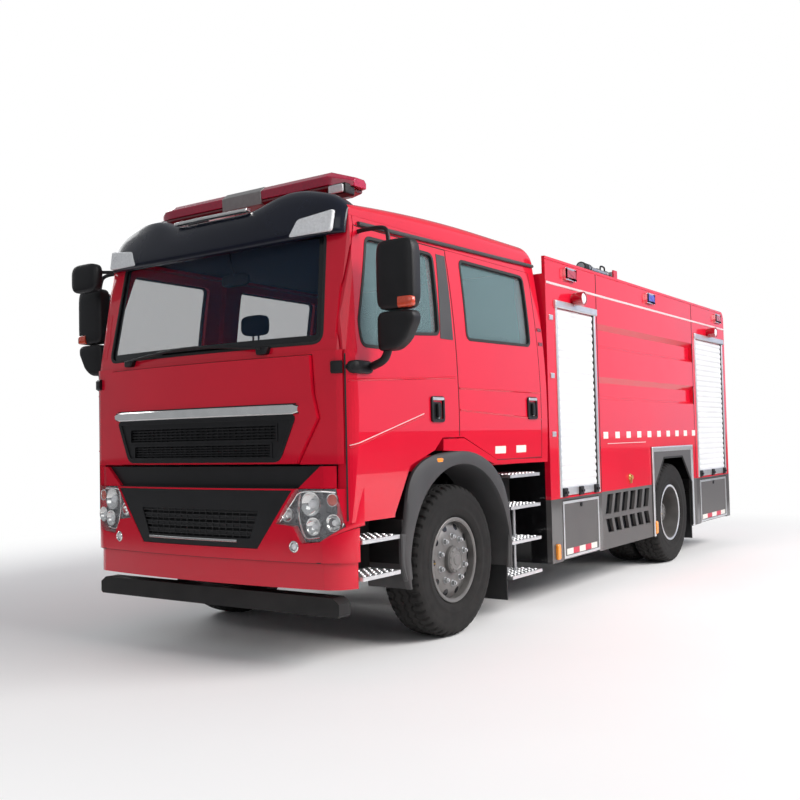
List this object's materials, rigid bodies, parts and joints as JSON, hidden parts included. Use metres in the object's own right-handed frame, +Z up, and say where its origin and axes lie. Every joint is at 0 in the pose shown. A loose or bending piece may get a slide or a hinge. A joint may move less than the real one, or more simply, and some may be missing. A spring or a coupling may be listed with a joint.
{
  "type": "foam fire truck",
  "caption": "Two-axle foam fire truck: crew cab with opening doors, locker body with roller shutters and flaps, roof monitor and steered front wheels.",
  "frame": {"origin": "on the ground under the middle of the overall length, on the plane of symmetry", "axes": "+X towards the front of the truck, +Y to its left, +Z up"},
  "size_m": [8.13, 3.2, 3.53],
  "materials": {
    "paint_red": "gloss",
    "grey_plastic": "matte",
    "skirt_grey": "satin",
    "chassis_black": "satin",
    "black_plastic": "matte",
    "tread_alloy": "brushed",
    "lamp_clear": "gloss",
    "lamp_red": "gloss",
    "navy_visor": "gloss",
    "glass_dark": "clear",
    "seat_cloth": "matte",
    "cab_trim": "matte",
    "shutter_alloy": "satin",
    "wheel_silver": "satin",
    "tyre": "matte",
    "steel": "satin",
    "tank_alloy": "satin"
  },
  "bodies": {
    "chassis": {"frame": "chassis_black", "cross_members": "chassis_black", "axles": "chassis_black", "powertrain": "chassis_black", "chassis_tanks": "tank_alloy", "bumper": "paint_red", "bumper_insert": "black_plastic", "headlamps": "lamp_clear", "fenders": "grey_plastic", "step_treads": "tread_alloy", "cab_floor": "cab_trim", "cab_nose": "paint_red", "windscreen": "glass_dark", "cab_roof": "paint_red", "cab_rear": "paint_red", "cab_sides": "paint_red", "sun_visor": "navy_visor", "light_bar": "lamp_red", "wipers": "black_plastic", "dashboard": "cab_trim", "seats": "seat_cloth", "front_module": "paint_red", "tank_module": "paint_red", "rear_module": "paint_red", "shutters": "shutter_alloy", "skirts": "skirt_grey", "roof_gear": "steel", "lamps": "lamp_red"},
    "knuckle_left": {"knuckle_left": "chassis_black"},
    "knuckle_right": {"knuckle_right": "chassis_black"},
    "tie_rod": {"tie_rod": "chassis_black"},
    "wheel_front_left": {"tyre_front_left": "tyre", "wheel_front_left": "wheel_silver"},
    "wheel_front_right": {"tyre_front_right": "tyre", "wheel_front_right": "wheel_silver"},
    "wheel_rear_left": {"tyres_rear_left": "tyre", "wheels_rear_left": "wheel_silver"},
    "wheel_rear_right": {"tyres_rear_right": "tyre", "wheels_rear_right": "wheel_silver"},
    "front_door_left": {"door_front_left": "paint_red", "glass_front_left": "glass_dark", "mirrors_left": "black_plastic"},
    "front_door_right": {"door_front_right": "paint_red", "glass_front_right": "glass_dark", "mirrors_right": "black_plastic"},
    "crew_door_left": {"door_crew_left": "paint_red", "glass_crew_left": "glass_dark"},
    "crew_door_right": {"door_crew_right": "paint_red", "glass_crew_right": "glass_dark"},
    "service_flap": {"service_flap": "paint_red", "grille": "black_plastic"},
    "flap_front_left": {"flap_front_left": "skirt_grey"},
    "flap_front_right": {"flap_front_right": "skirt_grey"},
    "flap_rear_left": {"flap_rear_left": "skirt_grey"},
    "flap_rear_right": {"flap_rear_right": "skirt_grey"},
    "monitor_elbow": {"monitor_elbow": "paint_red"},
    "monitor_barrel": {"monitor_barrel": "steel"},
    "steering_wheel": {"steering_wheel": "black_plastic"}
  },
  "joints": [
    {"name": "steer_left", "type": "hinge", "parent": "chassis", "child": "knuckle_left", "pos_m": [2.635, 0.83, 0.542], "axis": [0, 0, 1], "range_deg": [-40, 40]},
    {"name": "steer_right", "type": "hinge", "parent": "chassis", "child": "knuckle_right", "pos_m": [2.635, -0.83, 0.542], "axis": [0, 0, 1], "range_deg": [-40, 40]},
    {"name": "tie_rod_pivot", "type": "hinge", "parent": "knuckle_left", "child": "tie_rod", "pos_m": [2.435, 0.83, 0.395], "axis": [0, 0, 1], "range_deg": [-40, 40]},
    {"name": "steering_wheel_turn", "type": "hinge", "parent": "chassis", "child": "steering_wheel", "pos_m": [3.37, 0.69, 1.93], "axis": [-0.5736, 0, 0.8192], "range_deg": [-720, 720]},
    {"name": "wheel_front_left_spin", "type": "hinge", "parent": "knuckle_left", "child": "wheel_front_left", "pos_m": [2.635, 1.015, 0.542], "axis": [0, 1, 0], "continuous": true},
    {"name": "wheel_front_right_spin", "type": "hinge", "parent": "knuckle_right", "child": "wheel_front_right", "pos_m": [2.635, -1.015, 0.542], "axis": [0, 1, 0], "continuous": true},
    {"name": "wheel_rear_left_spin", "type": "hinge", "parent": "chassis", "child": "wheel_rear_left", "pos_m": [-1.865, 0.875, 0.542], "axis": [0, 1, 0], "continuous": true},
    {"name": "wheel_rear_right_spin", "type": "hinge", "parent": "chassis", "child": "wheel_rear_right", "pos_m": [-1.865, -0.875, 0.542], "axis": [0, 1, 0], "continuous": true},
    {"name": "front_door_left_hinge", "type": "hinge", "parent": "chassis", "child": "front_door_left", "pos_m": [3.91702, 1.17599, 1.5], "axis": [0, 0, -1], "range_deg": [0, 70]},
    {"name": "front_door_right_hinge", "type": "hinge", "parent": "chassis", "child": "front_door_right", "pos_m": [3.91702, -1.17599, 1.5], "axis": [0, 0, 1], "range_deg": [0, 70]},
    {"name": "crew_door_left_hinge", "type": "hinge", "parent": "chassis", "child": "crew_door_left", "pos_m": [2.652, 1.225, 1.6], "axis": [0, 0, -1], "range_deg": [0, 70]},
    {"name": "crew_door_right_hinge", "type": "hinge", "parent": "chassis", "child": "crew_door_right", "pos_m": [2.652, -1.225, 1.6], "axis": [0, 0, 1], "range_deg": [0, 70]},
    {"name": "service_flap_hinge", "type": "hinge", "parent": "chassis", "child": "service_flap", "pos_m": [4.045, 0, 1.955], "axis": [0, -1, 0], "range_deg": [0, 70]},
    {"name": "flap_front_left_hinge", "type": "hinge", "parent": "chassis", "child": "flap_front_left", "pos_m": [0.585, 1.2, 0.367], "axis": [-1, 0, 0], "range_deg": [0, 90]},
    {"name": "flap_front_right_hinge", "type": "hinge", "parent": "chassis", "child": "flap_front_right", "pos_m": [0.585, -1.2, 0.367], "axis": [1, 0, 0], "range_deg": [0, 90]},
    {"name": "flap_rear_left_hinge", "type": "hinge", "parent": "chassis", "child": "flap_rear_left", "pos_m": [-3.315, 1.2, 0.367], "axis": [-1, 0, 0], "range_deg": [0, 90]},
    {"name": "flap_rear_right_hinge", "type": "hinge", "parent": "chassis", "child": "flap_rear_right", "pos_m": [-3.315, -1.2, 0.367], "axis": [1, 0, 0], "range_deg": [0, 90]},
    {"name": "monitor_yaw", "type": "hinge", "parent": "chassis", "child": "monitor_elbow", "pos_m": [-3.215, 0, 3.365], "axis": [0, 0, 1], "range_deg": [-170, 170]},
    {"name": "monitor_pitch", "type": "hinge", "parent": "monitor_elbow", "child": "monitor_barrel", "pos_m": [-3.215, 0, 3.47], "axis": [0, -1, 0], "range_deg": [-10, 70]}
  ],
  "couplings": [
    {"joint": "steer_right", "follows": "steer_left", "ratio": 1},
    {"joint": "tie_rod_pivot", "follows": "steer_left", "ratio": -1},
    {"joint": "steering_wheel_turn", "follows": "steer_left", "ratio": 18}
  ]
}
